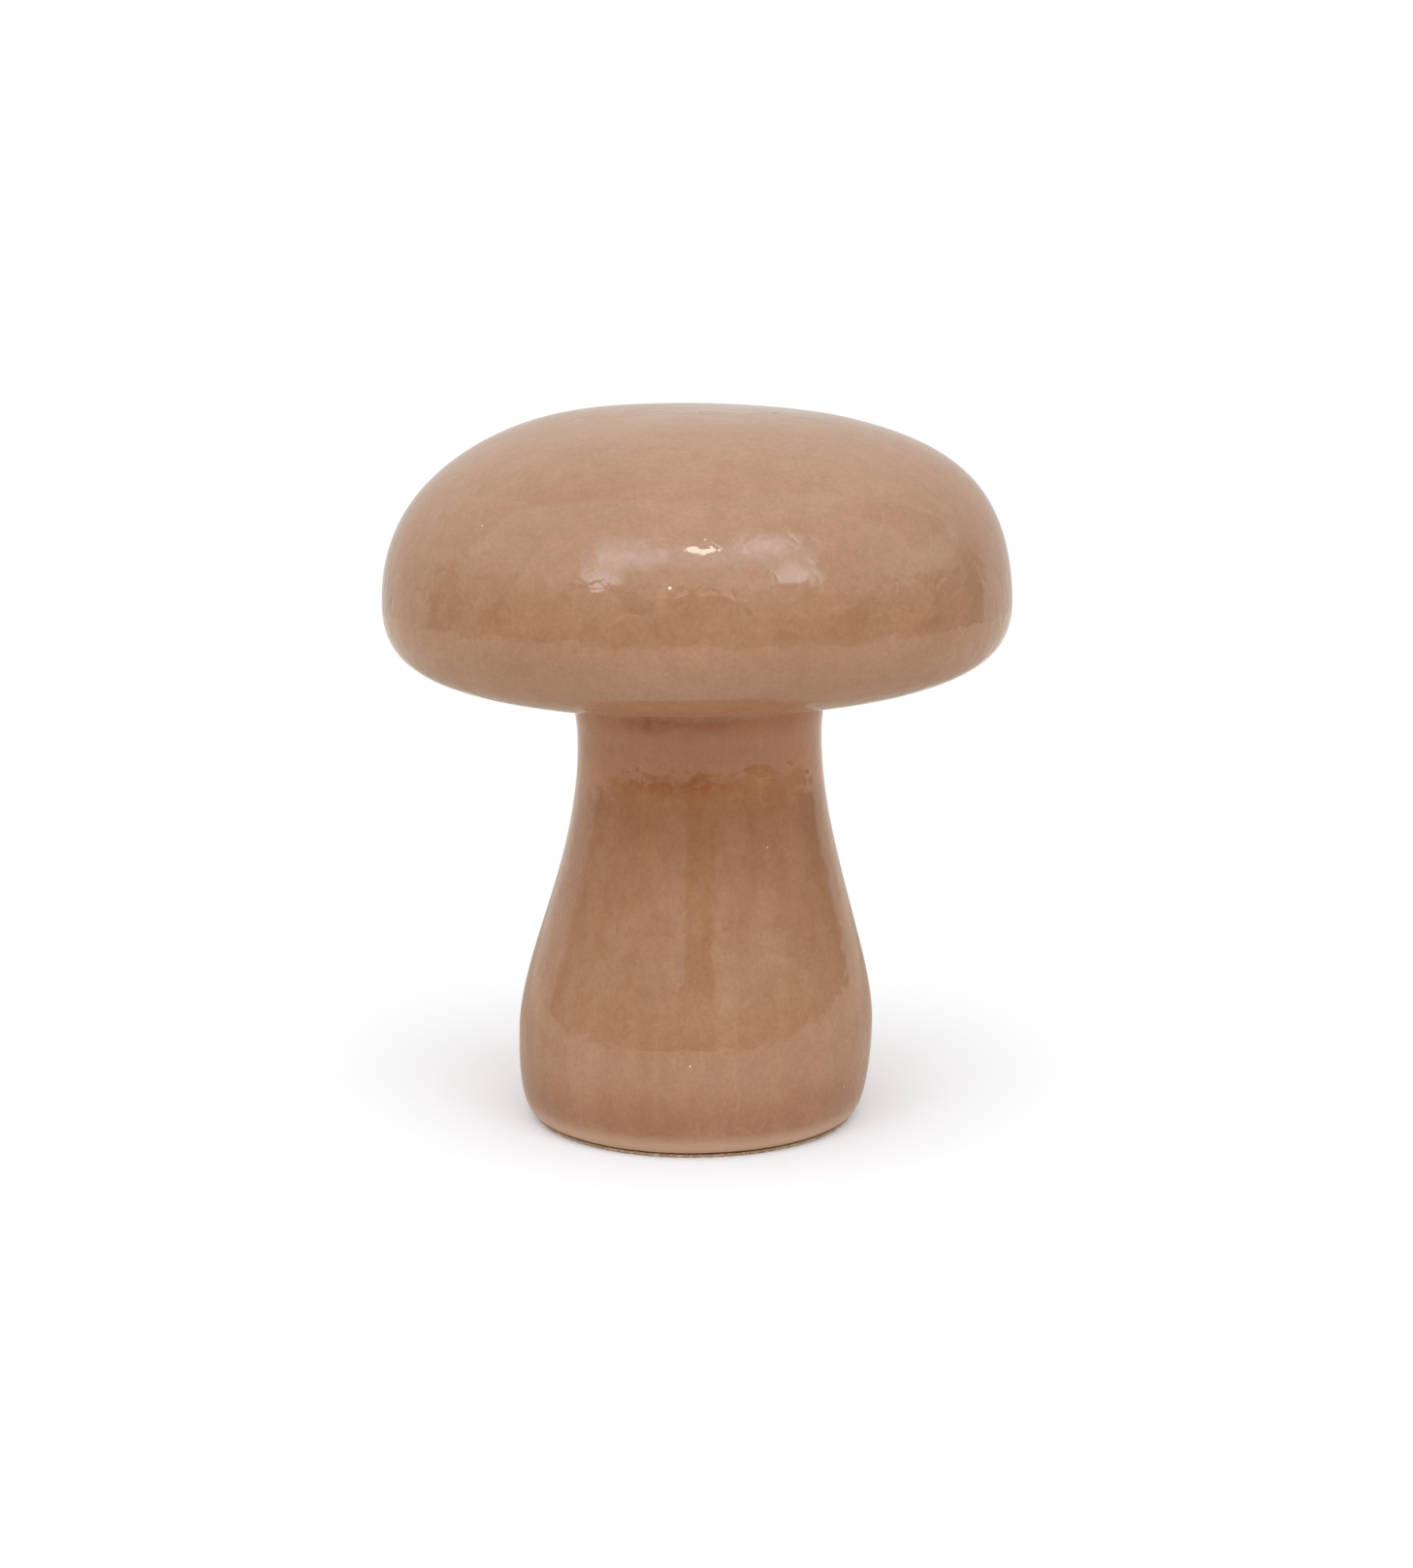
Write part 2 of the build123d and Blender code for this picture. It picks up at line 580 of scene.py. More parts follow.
# %% [markdown]
# ## Crackle
# Crackle is the net of hair cracks in a glaze that shrank more than its clay. Lines alone would look
# drawn on: on the real piece each cell between the cracks is a tiny tilted pane, and that is what breaks
# up the edges of reflections. So the group gives the panes' height as well as the lines, and a tone for
# each pane, since no two fire alike. The cells are bent by a noise first, because real cracks wander.

# %% Crackle group
HALF = Vector((0.5, 0.5, 0.5))
WANDER_CELLS = 160.0
WANDER = 1.6 * MM
PANE_EDGE = 0.30
PANE_TILT = 0.023


def make_crackle():
    """A net of hair lines, with the height and the tone of the tilted panes between them."""
    tree, start, end = open_group("crackle", ("Cells", "Line"), ("Line", "Height", "Tone"))
    vector = start.outputs["Vector"]
    drift = place(tree, "ShaderNodeTexNoise", {"Vector": vector, "Scale": WANDER_CELLS, "Detail": 2.0})
    shift = vectors(tree, "SUBTRACT", drift.outputs["Color"], HALF)["Vector"]
    bent = vectors(tree, "MULTIPLY_ADD", shift, (WANDER, WANDER, WANDER), vector)["Vector"]
    edges = cells_of(tree, bent, start.outputs["Cells"], "DISTANCE_TO_EDGE")["Distance"]
    tree.links.new(ramp(tree, edges, 0.0, start.outputs["Line"], 1.0, 0.0), end.inputs["Line"])
    cells = cells_of(tree, bent, start.outputs["Cells"])
    lean = vectors(tree, "SUBTRACT", cells["Color"], HALF)["Vector"]
    reach = vectors(tree, "SUBTRACT", bent, cells["Position"])["Vector"]
    height = vectors(tree, "DOT_PRODUCT", lean, reach)["Value"]
    height = calc(tree, "MULTIPLY", height, ramp(tree, edges, 0.0, PANE_EDGE, 0.0, PANE_TILT))
    tree.links.new(height, end.inputs["Height"])
    tone = place(tree, "ShaderNodeSeparateColor", {0: cells["Color"]}).outputs[2]
    tree.links.new(tone, end.inputs["Tone"])
    return tree


crackle = make_crackle()
print("group", crackle.name, "with panes tilted up to", PANE_TILT)

# %% [markdown]
# ## The colour of the glaze
# The glaze is a warm tan glass over pinkish clay. One flat colour would look like plastic, so two tones
# drift into each other over the piece, and blotches and grain are multiplied on top. They could be mixed
# in instead, but multiplying keeps the hue.

# %% Tones that drift
GLAZE_PALE = (0.416, 0.228, 0.128, 1)
GLAZE_DEEP = (0.379, 0.198, 0.105, 1)
BLOTCH_TONES = (0.965, 0.955, 0.940, 1), (1.030, 1.040, 1.050, 1)
GRAIN_TONES = (0.957, 0.945, 0.930, 1), (1.038, 1.050, 1.062, 1)


def glaze_colour(tree, where):
    """The even coat, before the glaze ran or pooled."""
    tones = use_group(tree, mottle, {"Vector": where, "Broad": 45.0, "Blotch": 420.0, "Grain": 1700.0})
    colour = tint(tree, tones["Broad"], GLAZE_DEEP, GLAZE_PALE)
    colour = tint(tree, 1.0, colour, tint(tree, tones["Blotch"], *BLOTCH_TONES), "MULTIPLY")
    return tint(tree, 1.0, colour, tint(tree, tones["Grain"], *GRAIN_TONES), "MULTIPLY")


print("two tones, pale and deep:", GLAZE_PALE[:3], GLAZE_DEEP[:3])

# %% [markdown]
# ## Thick and thin
# A dipped glaze is thin on the crown and gathers lower down, where it fires darker and redder along the
# upper stem. In the corner under the cap and on the heel the colour is darkened as painted shade, and a
# band of the neck below the cap is lightened as painted light. The depth could be painted by hand, but
# height alone tells it, so each is a ramp along Z that multiplies the colour.

# %% Thick and thin
THIN = (0.885, 0.915, 0.965, 1)
POOLED = (1.01, 0.90, 0.80, 1)
# The next three are painted light and shade: light on the neck, the cap's shadow in the corner, shade on
# the heel.
PAINTED_NECK_LIGHT = (1.22, 1.19, 1.15, 1)
PAINTED_CAP_SHADOW = (0.90, 0.74, 0.58, 1)
PAINTED_HEEL_SHADE = (0.90, 0.82, 0.77, 1)


def glaze_thickness_and_shade(tree, where, colour):
    """Pale on the crown and redder on the upper stem, with painted shade under the cap and on the heel, and
    painted light on the neck.
    """
    height = height_of(tree, where)
    on_stem = ramp(tree, height, landing + 0.5 * MM, landing - 0.5 * MM)
    thin = ramp(tree, height, widest, crown)
    pooled = calc(tree, "MULTIPLY", ramp(tree, height, landing - 40 * MM, landing - 6 * MM), on_stem)
    # Painted light: a paler band on the neck, 9 to 14 mm below the cap.
    neck_light = calc(tree, "MULTIPLY", ramp(tree, height, landing - 14 * MM, landing - 9 * MM), on_stem)
    # Painted shadow of the cap, in the corner just under it.
    cap_shadow = calc(tree, "MULTIPLY", ramp(tree, height, landing - 4 * MM, landing - 1 * MM), on_stem)
    # Painted shade on the heel, a few mm above the foot.
    over_lip = ramp(tree, height, foot + 1.5 * MM, foot + 4 * MM)
    heel = calc(tree, "MULTIPLY", ramp(tree, height, foot + 10 * MM, foot + 5 * MM), over_lip)
    for mask, shade in ((thin, THIN), (pooled, POOLED), (neck_light, PAINTED_NECK_LIGHT), (cap_shadow, PAINTED_CAP_SHADOW), (heel, PAINTED_HEEL_SHADE)):
        colour = tint(tree, mask, colour, shade, "MULTIPLY")
    return colour


print("glaze is thinnest at", round(crown / MM, 1), "mm and pools below", round(landing / MM, 1), "mm")

# %% [markdown]
# ## Runs and the painted reflection at the foot
# Glaze runs down a stem in faint streaks while it melts. A noise squeezed to a twelfth along Z becomes
# streaks. Just above the foot a pale band is painted into the colour, as a painted reflection of the bright
# table next to the foot.

# %% Runs and the painted reflection at the foot
RUN_STRETCH = (1.0, 1.0, 0.08)
RUN_TONES = (0.910, 0.890, 0.870, 1), (0.975, 0.985, 0.995, 1)
PAINTED_FOOT_REFLECTION = (0.560, 0.360, 0.245, 1)


def glaze_runs(tree, where, colour):
    """Faint runs down the stem, and a pale band just above the foot that is a painted reflection of the
    table.
    """
    height = height_of(tree, where)
    streaks = place(tree, "ShaderNodeMapping", {"Vector": where, "Scale": RUN_STRETCH}).outputs[0]
    run = ramp(tree, noise(tree, streaks, 330.0, 3.0, 0.6), 0.35, 0.7)
    on_stem = ramp(tree, height, landing, landing - 8 * MM)
    colour = tint(tree, on_stem, colour, tint(tree, run, *RUN_TONES), "MULTIPLY")
    # Painted reflection: the pale band over the lowest 2.6 mm stands in for the bright table mirrored
    # there.
    return tint(tree, ramp(tree, height, foot + 2.6 * MM, foot + 0.3 * MM), colour, PAINTED_FOOT_REFLECTION)


print("streaks are", round(1 / RUN_STRETCH[2], 1), "times as long as wide")

# %% [markdown]
# ## Specks, stains and painted shade
# Iron in the clay burns through as dark specks. They are the cores of a few cells of a fine net, picked by
# the cell's own colour. Brown dabs at the joint are painted shade where the cap shadows the neck; the rest
# are stains: a tide line where a run stopped on the stem, and faint streaks low on the cap. They don't
# repeat, so each has its spot and its size in mm, a squash that flattens it, and a strength. A noise frays
# their edges.

# %% Specks
SPECK = (0.110, 0.052, 0.030, 1)
SPECK_CELLS = 260.0


def glaze_specks(tree, where, colour):
    """A few iron specks that came through the glaze."""
    dots = cells_of(tree, where, SPECK_CELLS)
    pick = place(tree, "ShaderNodeSeparateColor", {0: dots["Color"]}).outputs[1]
    dot = calc(tree, "LESS_THAN", dots["Distance"], ramp(tree, pick, 0.95, 1.0, 0.0, 0.10))
    return tint(tree, calc(tree, "MULTIPLY", dot, 0.5), colour, SPECK)


print("one speck in twenty cells of", round(1 / SPECK_CELLS / MM, 1), "mm")

# %% Stains, and painted shade at the joint
STAIN_AND_SHADE = (0.74, 0.47, 0.26, 1)
STAINS_AND_SHADE = [
    # The first two dabs, at the joint, are painted shade under the cap; the others are stains.
    ((-6.2, -16.2, 59.2), 6.0, 2.5, 1.0),
    ((1.0, -17.4, 59.3), 7.5, 4, 0.6),
    ((-3.0, -16.7, 50.3), 13.0, 6, 0.42),
    ((-2.2, -16.9, 50.8), 6.0, 4, 0.35),
    ((29.4, -31.8, 74.8), 7.0, 6, 0.24),
    ((-26.2, -34.4, 75.5), 3.5, 2, 0.20),
    ((-21.7, -37.5, 73.7), 4.5, 5, 0.20),
]


def glaze_stains_and_shade(tree, where, colour):
    """Brown dabs: painted shade at the joint, stains on the neck, and faint stains low on the cap."""
    ragged = ramp(tree, noise(tree, where, 700.0, 4.0, 0.7), 0.35, 0.6)
    ragged = calc(tree, "ADD", calc(tree, "MULTIPLY", ragged, 0.6), 0.4)
    for spot, reach, squash, strength in STAINS_AND_SHADE:
        far = how_far(tree, where, spot, (1, 1, squash))
        dab = ramp(tree, far, 0.2 * reach * MM, reach * MM, strength, 0.0)
        colour = tint(tree, calc(tree, "MULTIPLY", dab, ragged), colour, STAIN_AND_SHADE, "MULTIPLY")
    return colour


print(len(STAINS_AND_SHADE), "stains")

# %% [markdown]
# ## Pinholes, pits and painted glints
# Gas leaves the clay while the glaze melts. Where the glaze drew back, a dark pinhole stays on the crown.
# Where a bubble burst late, a tiny pit stays; its pale dot is a painted glint. Modelled dents this small
# would need millions of faces, so they are dots in the material. The pits also give a mask that sinks the
# surface later.

# %% Pinholes
PINHOLES = [((0.5, -7.0, 99.7), 0.4), ((10.4, -4.5, 99.3), 0.8), ((8.9, -5.0, 99.4), 0.3)]
PINHOLE_STRETCH = (1, 0.45, 0.1)


def glaze_pinholes(tree, where, colour):
    """Pinholes on the crown, where the glaze drew back from the clay."""
    for spot, reach in PINHOLES:
        far = how_far(tree, where, spot, PINHOLE_STRETCH)
        colour = tint(tree, ramp(tree, far, 0.4 * reach * MM, reach * MM, 0.9, 0.0), colour, SPECK)
    return colour


print(len(PINHOLES), "pinholes")

# %% Pits and painted glints
# A painted glint: the pale colour of the dots on the pits.
PAINTED_GLINT = (0.90, 0.80, 0.66, 1)
GLINT_PIT_CELLS = 200.0
PITS_AND_GLINTS = [
    ((-3.4, -42.2, 80.9), 0.27),
    ((-27.7, -27.8, 87.0), 0.17),
    ((9.5, -15.9, 41.8), 0.13),
    ((-1.0, -24.9, 13.7), 0.17),
    ((20.3, -13.6, 7.4), 0.13),
]


def glaze_pits_and_glints(tree, where):
    """Tiny pits, as a mask, which also places the pale dots painted as glints."""
    dots = cells_of(tree, where, GLINT_PIT_CELLS)
    pick = place(tree, "ShaderNodeSeparateColor", {0: dots["Color"]}).outputs[2]
    pits = ramp(tree, dots["Distance"], 0.0, ramp(tree, pick, 0.6, 1.0, 0.0, 0.045), 1.0, 0.0)
    for spot, reach in PITS_AND_GLINTS:
        pit = ramp(tree, how_far(tree, where, spot), 0.4 * reach * MM, reach * MM, 1.0, 0.0)
        pits = calc(tree, "MAXIMUM", pits, pit)
    return pits


print(len(PITS_AND_GLINTS), "bubbles, and some strewn ones")

# %% [markdown]
# ## Hair cracks
# Two nets lie over each other: a wide one all over, and a fine one in patches. Some stretches have taken
# up dirt and are dark, others are clean and catch the light. Drawn at full strength they would look like
# a map, so they are shown at a few per cent and come and go.

# %% Hair cracks
CRACK = (0.200, 0.085, 0.038, 1)
HAIR = (0.640, 0.430, 0.300, 1)
WIDE_NET = {"Cells": 170.0, "Line": 0.016}
FINE_NET = {"Cells": 360.0, "Line": 0.030}
FINE_TILT = 1.6
CRACKLE_SHIFT = (0.0311, -0.0173, 0.0207)


def glaze_cracks(tree, where):
    """The lines of both nets as one mask, and the height and the tone of their panes."""
    veins = vectors(tree, "ADD", where, CRACKLE_SHIFT)["Vector"]
    wide = use_group(tree, crackle, {"Vector": veins, **WIDE_NET})
    fine = use_group(tree, crackle, {"Vector": veins, **FINE_NET})
    patchy = ramp(tree, noise(tree, where, 70.0), 0.42, 0.62)
    faint = calc(tree, "MULTIPLY", fine["Line"], calc(tree, "MULTIPLY", patchy, 0.6))
    cracks = calc(tree, "MAXIMUM", wide["Line"], faint)
    panes = calc(tree, "MULTIPLY_ADD", fine["Height"], FINE_TILT, wide["Height"])
    tone = calc(tree, "MULTIPLY", calc(tree, "ADD", wide["Tone"], fine["Tone"]), 0.5)
    return cracks, panes, tone


def glaze_hairs(tree, where, colour, cracks):
    """Lays the cracks on the colour, dark here and pale there."""
    shown = ramp(tree, noise(tree, where, 120.0), 0.40, 0.65, 0.02, 0.11)
    line = tint(tree, ramp(tree, noise(tree, where, 80.0), 0.44, 0.56), CRACK, HAIR)
    return tint(tree, calc(tree, "MULTIPLY", cracks, shown), colour, line)


print("cells of about", [round(1 / net["Cells"] / MM, 1) for net in (WIDE_NET, FINE_NET)], "mm")

# %% [markdown]
# ## Panes between the cracks
# Each pane holds its own trapped bubbles and stain, so it is a shade lighter or darker than its
# neighbours. That shows most on the cap's lower half, where the glaze is thick and the reflection is dark.
# Elsewhere a quarter of it is enough.

# %% Panes
PANE_TONES = (0.920, 0.905, 0.880, 1), (1.080, 1.095, 1.120, 1)
PANE_SHARE = 0.25
THICK_TOP = 78 * MM
THICK_FADE = 84 * MM
THICK_LOW = (73 * MM, 76 * MM)


def thick_glaze(tree, height):
    """The lower half of the cap, as a mask."""
    on_cap = ramp(tree, height, landing, landing + 2 * MM)
    return calc(tree, "MULTIPLY", ramp(tree, height, THICK_FADE, THICK_TOP), on_cap)


def glaze_panes(tree, where, colour, tone):
    """Gives each pane of the crackle its own shade."""
    height = height_of(tree, where)
    band_mask = calc(tree, "MULTIPLY", thick_glaze(tree, height), ramp(tree, height, *THICK_LOW))
    share = calc(tree, "MULTIPLY_ADD", band_mask, 1.0 - PANE_SHARE, PANE_SHARE)
    return tint(tree, share, colour, tint(tree, tone, *PANE_TONES), "MULTIPLY")


print("the glaze is thick below", round(THICK_TOP / MM), "mm")

# %% [markdown]
# ## The surface of the glaze
# What the eye reads as glaze is mostly relief of a few thousandths of a millimetre: orange peel, tilted
# panes, grooves along the cracks and the pits of bubbles. Real geometry that fine would take far too many
# faces, so all of it is one height that feeds a bump. The panes tilt more on the cap's lower half, where
# the glaze is thick.

# %% Relief
PEEL = ((260.0, 5e-6), (900.0, 2e-6))
GROOVE_DEPTH = 3e-6
PIT_DEPTH = 30e-6
STEEPER = 0.5


def glaze_relief(tree, where, panes, cracks, pits_and_glints):
    """The normal of the glaze's uneven surface, from heights in metres."""
    thick = thick_glaze(tree, height_of(tree, where))
    height = calc(tree, "MULTIPLY", panes, calc(tree, "MULTIPLY_ADD", thick, STEEPER, 1.0))
    for scale, depth in PEEL:
        height = calc(tree, "MULTIPLY_ADD", noise(tree, where, scale), depth, height)
    height = calc(tree, "MULTIPLY_ADD", cracks, -GROOVE_DEPTH, height)
    height = calc(tree, "MULTIPLY_ADD", pits_and_glints, -PIT_DEPTH, height)
    return place(tree, "ShaderNodeBump", {"Height": height, "Distance": 1.0, "Strength": 1.0}).outputs[0]


print("pits sink by", round(PIT_DEPTH / MM, 3), "mm")

# %% [markdown]
# ## The glaze itself
# Now the parts come together in one shader. Glazes bend light a little more than window glass, and their
# gloss is high but not perfect: it varies, as where a hand has touched the piece. Cap and stem were dipped
# together, so they share the material.

# %% Glaze material
GLAZE_IOR = 1.55
GLOSS = (0.03, 0.065)


def make_glaze():
    material, tree, shader, where = open_material("crackle_glaze")
    cracks, panes, tone = glaze_cracks(tree, where)
    pits_and_glints = glaze_pits_and_glints(tree, where)
    colour = glaze_thickness_and_shade(tree, where, glaze_colour(tree, where))
    colour = glaze_panes(tree, where, glaze_runs(tree, where, colour), tone)
    colour = glaze_hairs(tree, where, colour, cracks)
    colour = glaze_stains_and_shade(tree, where, glaze_specks(tree, where, colour))
    # Painted glints: pale dots on the pits.
    colour = tint(tree, pits_and_glints, glaze_pinholes(tree, where, colour), PAINTED_GLINT)
    gloss = ramp(tree, noise(tree, where, 240.0, 3.0), 0.3, 0.7, *GLOSS)
    tree.links.new(colour, shader.inputs["Base Color"])
    tree.links.new(gloss, shader.inputs["Roughness"])
    tree.links.new(glaze_relief(tree, where, panes, cracks, pits_and_glints), shader.inputs["Normal"])
    shader.inputs["IOR"].default_value = GLAZE_IOR
    return material


glaze = make_glaze()
dress(cap, glaze, "glaze", "cap_shell")
dress(stem, glaze, "glaze", "stem_shell")

# %% [markdown]
# ## The pooled glaze of the joint
# The bead takes the same glaze a shade deeper, because it pooled there. It could wear the cap's material,
# but crackle on a ring this thin would only flicker, so it has tones alone, with the stains and the painted
# shade of the joint.

# %% Slip material
SLIP_TONES = (0.360, 0.175, 0.088, 1), (0.420, 0.215, 0.112, 1)


def make_slip():
    material, tree, shader, where = open_material("pooled_glaze")
    tones = use_group(tree, mottle, {"Vector": where, "Broad": 90.0, "Blotch": 600.0, "Grain": 2200.0})
    # The painted shade under the cap lies on the bead as well.
    colour = glaze_stains_and_shade(tree, where, tint(tree, tones["Blotch"], *SLIP_TONES))
    tree.links.new(colour, shader.inputs["Base Color"])
    tree.links.new(ramp(tree, tones["Grain"], 0.0, 1.0, 0.10, 0.22), shader.inputs["Roughness"])
    return material


slip = make_slip()
dress(bead, slip, "slip", "slip_seam")

# %% [markdown]
# ## Cork
# Pressed cork is grains of bark glued together: cells of several browns with dark gaps between them. A
# photo of cork would do, but cells from a formula have no seams and stay sharp close up. Right under the
# lip of glaze the cork is painted a dark red-brown, as painted shade where the lip shadows it.

# %% Cork colour
CORK_CELLS = 900.0
CORK_TONES = (0.46, 0.32, 0.19, 1), (0.70, 0.53, 0.37, 1)
CORK_DUST = (0.56, 0.41, 0.28, 1)
CORK_GAP = (0.20, 0.12, 0.07, 1)
PAINTED_LIP_SHADE = (0.480, 0.180, 0.055, 1)


def cork_colour(tree, where, grain, gap):
    """Grains of several browns, dusty, with dark gaps, and painted shade in red-brown just under the lip.
    """
    cells = cells_of(tree, where, CORK_CELLS)
    pick = place(tree, "ShaderNodeSeparateColor", {0: cells["Color"]}).outputs[0]
    colour = tint(tree, pick, *CORK_TONES)
    colour = tint(tree, calc(tree, "MULTIPLY", grain, 0.5), colour, CORK_DUST)
    colour = tint(tree, calc(tree, "MULTIPLY", gap, 0.5), colour, CORK_GAP)
    # Painted shade: a dark red-brown band just under the lip of glaze.
    lip_shade = ramp(tree, height_of(tree, where), lip_level - 0.20 * MM, lip_level - 0.06 * MM)
    return tint(tree, calc(tree, "MULTIPLY", lip_shade, 0.9), colour, PAINTED_LIP_SHADE)


print("cork grains of about", round(1 / CORK_CELLS / MM, 1), "mm")

# %% Cork material
CORK_RELIEF = 0.1 * MM


def make_cork():
    material, tree, shader, where = open_material("pressed_cork")
    tones = use_group(tree, mottle, {"Vector": where, "Broad": 120.0, "Blotch": 1500.0, "Grain": 4000.0})
    edges = cells_of(tree, where, CORK_CELLS, "DISTANCE_TO_EDGE")["Distance"]
    gap = ramp(tree, edges, 0.0, 0.08, 1.0, 0.0)
    height = calc(tree, "SUBTRACT", tones["Blotch"], gap)
    bump = place(tree, "ShaderNodeBump", {"Height": height, "Distance": CORK_RELIEF, "Strength": 0.8})
    tree.links.new(cork_colour(tree, where, tones["Grain"], gap), shader.inputs["Base Color"])
    tree.links.new(ramp(tree, tones["Grain"], 0.0, 1.0, 0.78, 0.95), shader.inputs["Roughness"])
    tree.links.new(bump.outputs[0], shader.inputs["Normal"])
    return material


cork = make_cork()
dress(pad, cork, "cork", "foot_pad")

# %% [markdown]
# ## Glue
# The glue is a dull amber film that shows, if at all, as a dark hairline over the cork. A plain colour
# would do at this size; a little mottle costs nothing and holds up in a close view.

# %% Glue material
GLUE_TONES = (0.160, 0.085, 0.040, 1), (0.260, 0.150, 0.080, 1)


def make_glue():
    material, tree, shader, where = open_material("amber_glue")
    tones = use_group(tree, mottle, {"Vector": where, "Broad": 150.0, "Blotch": 900.0, "Grain": 3000.0})
    tree.links.new(tint(tree, tones["Blotch"], *GLUE_TONES), shader.inputs["Base Color"])
    tree.links.new(ramp(tree, tones["Grain"], 0.0, 1.0, 0.4, 0.6), shader.inputs["Roughness"])
    return material


glue = make_glue()
dress(film, glue, "glue", "adhesive_film")

# %% [markdown]
# ## The table
# The camera sees a white table that keeps the soft shadow of the piece and fades to plain white away from
# it, so no horizon shows. The glaze sees the same table with light and shade painted into its colour:
# bright in front of the piece, and a painted shadow of the piece behind it. More light could whiten the
# table, but it would bleach the glaze too, so Is Camera Ray tells the two apart.

# %% Table
TABLE_RADIUS = 470 * MM

bpy.ops.object.select_all(action="DESELECT")
bpy.ops.mesh.primitive_circle_add(vertices=96, radius=TABLE_RADIUS, fill_type="NGON")
table = bpy.context.active_object
table.name = "white_table"
print("table", round(2 * TABLE_RADIUS, 2), "m wide")

# %% Tones of the table
SEEN = (0.91, 0.945, 0.975, 1)
IN_FRONT = (0.92, 0.88, 0.84, 1)
SHADED = (0.52, 0.46, 0.39, 1)
BESIDE = (0.87, 0.79, 0.69, 1)
FAR_BACK = (0.84, 0.78, 0.70, 1)
WHITE = (1, 1, 1, 1)

material, tree, shader, where = open_material("table_white")
to_eye = place(tree, "ShaderNodeLightPath").outputs["Is Camera Ray"]
place_on_table = place(tree, "ShaderNodeSeparateXYZ", {0: where}).outputs
depth = place_on_table["Y"]
aside = calc(tree, "ABSOLUTE", place_on_table["X"])
# Painted shadow: straight behind the piece the table's colour is dark, as the piece's shadow.
behind = tint(tree, ramp(tree, aside, 60 * MM, 150 * MM), SHADED, BESIDE)
tone = tint(tree, ramp(tree, depth, -90 * MM, 70 * MM), IN_FRONT, behind)
tone = tint(tree, ramp(tree, depth, 140 * MM, 240 * MM), tone, FAR_BACK)
tone = tint(tree, to_eye, tone, SEEN)
print("table material", len(tree.nodes), "nodes so far")

# %% Fade of the table
FADE_FROM = 25 * MM
FADE_TO = 140 * MM

tree.links.new(tone, shader.inputs["Base Color"])
shader.inputs["Roughness"].default_value = 0.9
shader.inputs["Specular IOR Level"].default_value = 0.0
away = vectors(tree, "LENGTH", where)["Value"]
# Away from the piece the table glows: plain white to the camera, and its painted tones as light to the
# glaze.
glow = place(tree, "ShaderNodeEmission", {"Color": tint(tree, to_eye, tone, WHITE)})
fade = place(tree, "ShaderNodeMixShader", {0: ramp(tree, away, FADE_FROM, FADE_TO)})
tree.links.new(shader.outputs[0], fade.inputs[1])
tree.links.new(glow.outputs[0], fade.inputs[2])
tree.links.new(fade.outputs[0], tree.nodes["Material Output"].inputs["Surface"])
table.data.materials.append(material)
print("table fades to white by", round(FADE_TO / MM), "mm")

# %% [markdown]
# ## The room
# A glossy glaze is mostly a picture of what stands round it. Lamps and cards could be set up for every
# reflection, but the world's own background can hold them all: its directions are turned into degrees
# of turn, to the right of the camera, and of rise. Soft rectangles in those degrees are then laid over
# each other like cards, each with its own level of light.

# %% Directions in the room
world = bpy.data.worlds.new("studio")
bpy.context.scene.world = world
world.use_nodes = True
room = world.node_tree
direction = place(room, "ShaderNodeTexCoord").outputs["Generated"]
axis = place(room, "ShaderNodeSeparateXYZ", {0: direction}).outputs
towards_camera = calc(room, "MULTIPLY", axis["Y"], -1.0)
turn = calc(room, "DEGREES", calc(room, "ARCTAN2", axis["X"], towards_camera))
rise = calc(room, "DEGREES", calc(room, "ARCSINE", axis["Z"]))
print("world", world.name)

# %% Cards of light
def band(value, start, end, soft):
    """One between two angles, easing to nothing over a soft edge at each of them."""
    opens = ramp(room, value, start - soft, start + soft)
    return calc(room, "MULTIPLY", opens, ramp(room, value, end - soft, end + soft, 1.0, 0.0))


def patch(turn_span, turn_soft, rise_span, rise_soft):
    """A soft rectangle on the room, in degrees of turn to the right and of rise."""
    across = band(turn, *turn_span, turn_soft)
    return calc(room, "MULTIPLY", across, band(rise, *rise_span, rise_soft))


def cover(level, mask, new_level):
    """Lays a new light level over an old one where the mask is one."""
    return place(room, "ShaderNodeMix", {0: mask, 2: level, 3: new_level}).outputs[0]


print("helpers:", band.__name__, patch.__name__, cover.__name__)

# %% [markdown]
# ## Walls and furniture
# Behind the piece is a pale sweep under a brighter ceiling. In front is a dim room that brightens with
# height, with two dark corners. A shelf of dim things stands below the window sill, and its dark column,
# bars and bright strip are the streaks on the stem. Without them the stem would look like rubber.

# %% Walls and corners
SILL = 24.0
LOW = -8.0
FRONT_ROOM = (-113.0, 126.0)
WALLS = [
    ((-75.0, 75.0), 15.0, (SILL, 62.0), 1.0, 1.4),
    ((48.0, 108.0), 6.0, (13.0, 62.0), 4.0, 1.2),
    ((-115.0, -104.0), 5.0, (12.0, 36.0), 5.0, 0.65),
    ((97.0, 124.0), 5.0, (24.0, 55.0), 5.0, 0.65),
    ((-108.0, -101.0), 1.5, (LOW, 20.0), 6.0, 0.22),
    ((115.0, 122.0), 1.5, (LOW, 8.0), 6.0, 0.22),
]

front = band(turn, *FRONT_ROOM, 1.5)
level = ramp(room, rise, 0.0, 70.0, 0.72, 1.06)
level = cover(level, front, ramp(room, rise, 1.0, 34.0, 0.30, 1.40))
for *spans, new_level in WALLS:
    level = cover(level, patch(*spans), new_level)
print(len(WALLS), "stretches of wall")

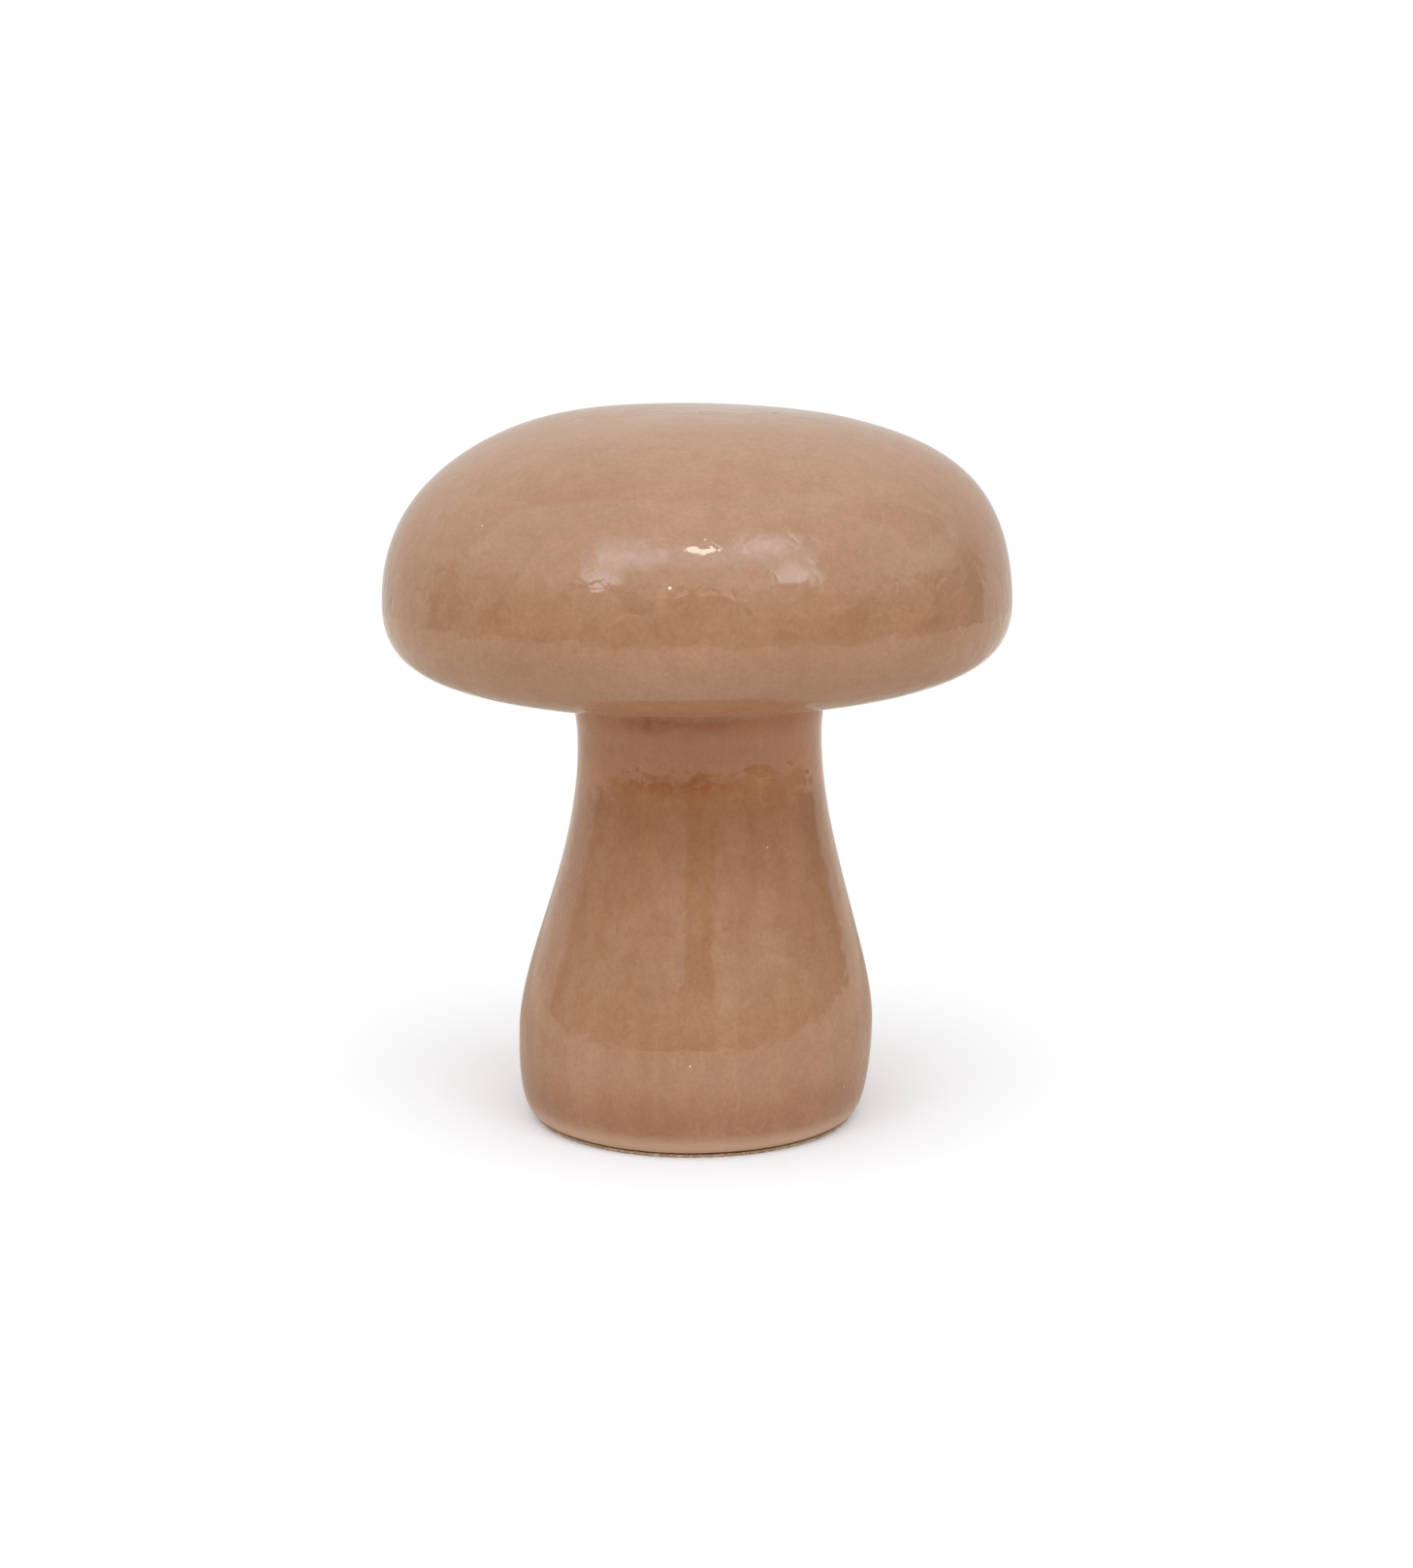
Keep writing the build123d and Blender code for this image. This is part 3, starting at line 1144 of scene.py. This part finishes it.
# %% Bars, shelf and horizon
BARS = [
    ((-84.0, -72.0), 2.5, (LOW, 20.0), 4.0, 0.65),
    ((-54.0, -46.0), 2.5, (LOW, 20.0), 4.0, 0.65),
]
SHELF = [
    ((-22.0, -12.0), 1.5, (LOW, SILL), 1.0, 1.15),
    ((-12.0, 11.0), 1.5, (LOW, SILL), 1.0, 0.15),
    ((-44.0, -22.0), 4.0, (17.0, SILL), 2.0, 0.6),
]
HORIZON = [((-80.0, 80.0), 10.0, (-5.0, 1.0), 1.5, 0.65)]

for layer in (BARS, SHELF, HORIZON):
    share = 1.0
    for *spans, new_share in layer:
        share = cover(share, patch(*spans), new_share)
    level = calc(room, "MULTIPLY", level, share)
print(len(BARS + SHELF + HORIZON), "things in front of the walls")

# %% [markdown]
# ## Two pale windows
# The lobes of light on the cap are two windows, each with a bright upper part and a lower part that the
# sill cuts off. Area lamps would make them too even, so they are soft patches too, and a little blue,
# as daylight is beside a warm wall. The camera itself sees plain white.

# %% Windows
WINDOWS = [
    ((-52.0, 54.0), 8.0, (40.0, 57.0), 6.0, SILL, 2.4),
    ((-44.0, -20.0), 10.0, (39.0, 50.0), 7.0, SILL, 4.6),
    ((20.0, 45.0), 10.0, (45.0, 58.0), 7.0, SILL, 4.4),
    ((-45.0, -31.0), 7.0, (18.0, 36.0), 9.0, SILL + 2.0, 5.0),
    ((33.0, 46.0), 7.0, (18.0, 36.0), 9.0, SILL, 4.8),
]

window = 0.0
for *spans, sill, brightness in WINDOWS:
    over_sill = ramp(room, rise, sill - 1.0, sill + 1.0)
    pane = calc(room, "MULTIPLY", over_sill, patch(*spans))
    level = cover(level, pane, brightness)
    window = calc(room, "MAXIMUM", window, pane)
print(len(WINDOWS), "panes over a sill at", SILL, "degrees")

# %% Colour of the room's light
BACK_LIGHT = (1.0, 0.93, 0.87, 1)
FRONT_LIGHT = (1.0, 0.98, 0.95, 1)
DAYLIGHT = (0.88, 0.93, 1.05, 1)

to_eye = place(room, "ShaderNodeLightPath").outputs["Is Camera Ray"]
background = room.nodes["Background"]
cast = tint(room, window, tint(room, front, BACK_LIGHT, FRONT_LIGHT), DAYLIGHT)
room.links.new(tint(room, to_eye, cast, WHITE), background.inputs["Color"])
room.links.new(cover(level, to_eye, 1.0), background.inputs["Strength"])
print("world", len(room.nodes), "nodes")

# %% [markdown]
# ## The spark
# Between the windows the cap holds one small, sharp, warm spark. A patch of the world that small and
# bright would be noisy to render, so this one light is a real lamp: a weak oval, rolled a little, as
# the spark is.

# %% A small warm lamp between the windows
LAMP_REACH = 500 * MM
LAMP_TARGET = Vector((0, 0, 85 * MM))
LAMP_TURN = math.radians(2.2)
LAMP_RISE = math.radians(47.8)
LAMP_ROLL = math.radians(8.0)
LAMP_SIZE = (85 * MM, 55 * MM)
LAMP_POWER = 0.12
LAMP_COLOUR = (1.0, 0.95, 0.80)

heading = Vector((math.sin(LAMP_TURN), -math.cos(LAMP_TURN), 0)) * math.cos(LAMP_RISE)
heading.z = math.sin(LAMP_RISE)
bpy.ops.object.light_add(type="AREA", location=LAMP_TARGET + heading * LAMP_REACH)
lamp = bpy.context.active_object
lamp.name = "warm_lamp"
lamp.data.shape = "ELLIPSE"
lamp.data.size, lamp.data.size_y = LAMP_SIZE
lamp.data.energy = LAMP_POWER
lamp.data.color = LAMP_COLOUR
facing = heading.to_track_quat("Z", "Y") @ Quaternion((0, 0, 1), LAMP_ROLL)
lamp.rotation_euler = facing.to_euler()
print("lamp at", [round(v, 2) for v in lamp.location])

# %% [markdown]
# ## Finish
# The plain view transform shows the colours as they were mixed.

# %% Standard view
bpy.context.scene.view_settings.view_transform = "Standard"
print("view", bpy.context.scene.view_settings.view_transform)
